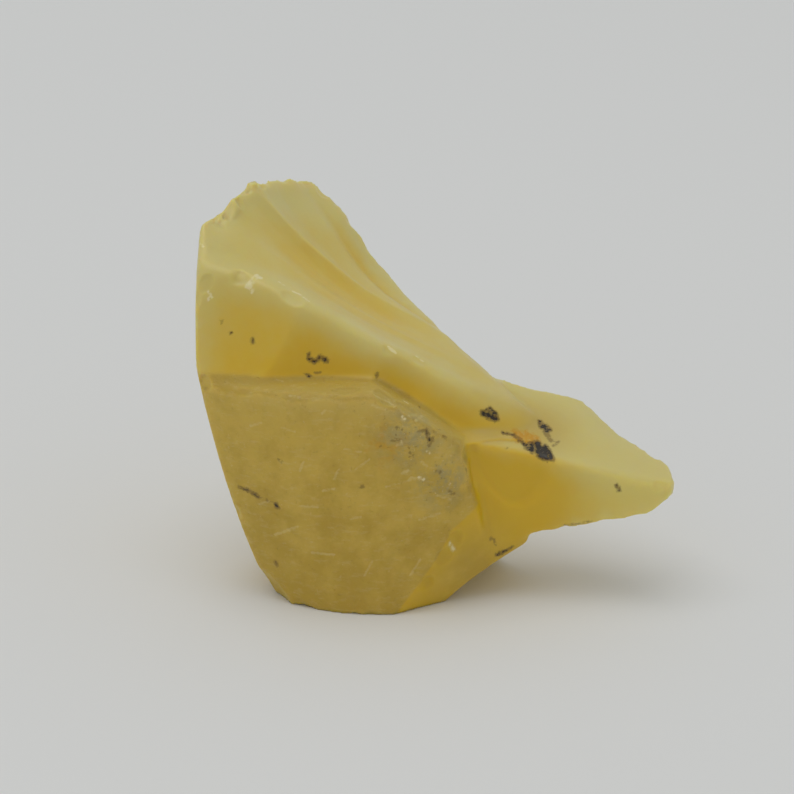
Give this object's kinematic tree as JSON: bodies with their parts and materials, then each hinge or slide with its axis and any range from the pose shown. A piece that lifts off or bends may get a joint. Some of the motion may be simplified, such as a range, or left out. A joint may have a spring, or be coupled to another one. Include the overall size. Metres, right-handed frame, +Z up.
{
  "type": "rough opal",
  "caption": "Rough opal: a waxy honey-yellow stone with shell-like fracture faces, a thick plate across its lower front and a tapering arm to one side; it stands on a flat foot.",
  "frame": {"origin": "middle of the bounding box, on the plane of the foot", "axes": "+Z up from the foot, -Y out of the plate's face, +X along the arm"},
  "size_m": [0.0442, 0.0248, 0.0367],
  "materials": {
    "opal": "waxy, faintly translucent stone; frosted on the plate"
  },
  "bodies": {
    "root": {"rough_opal": "opal"}
  },
  "joints": []
}
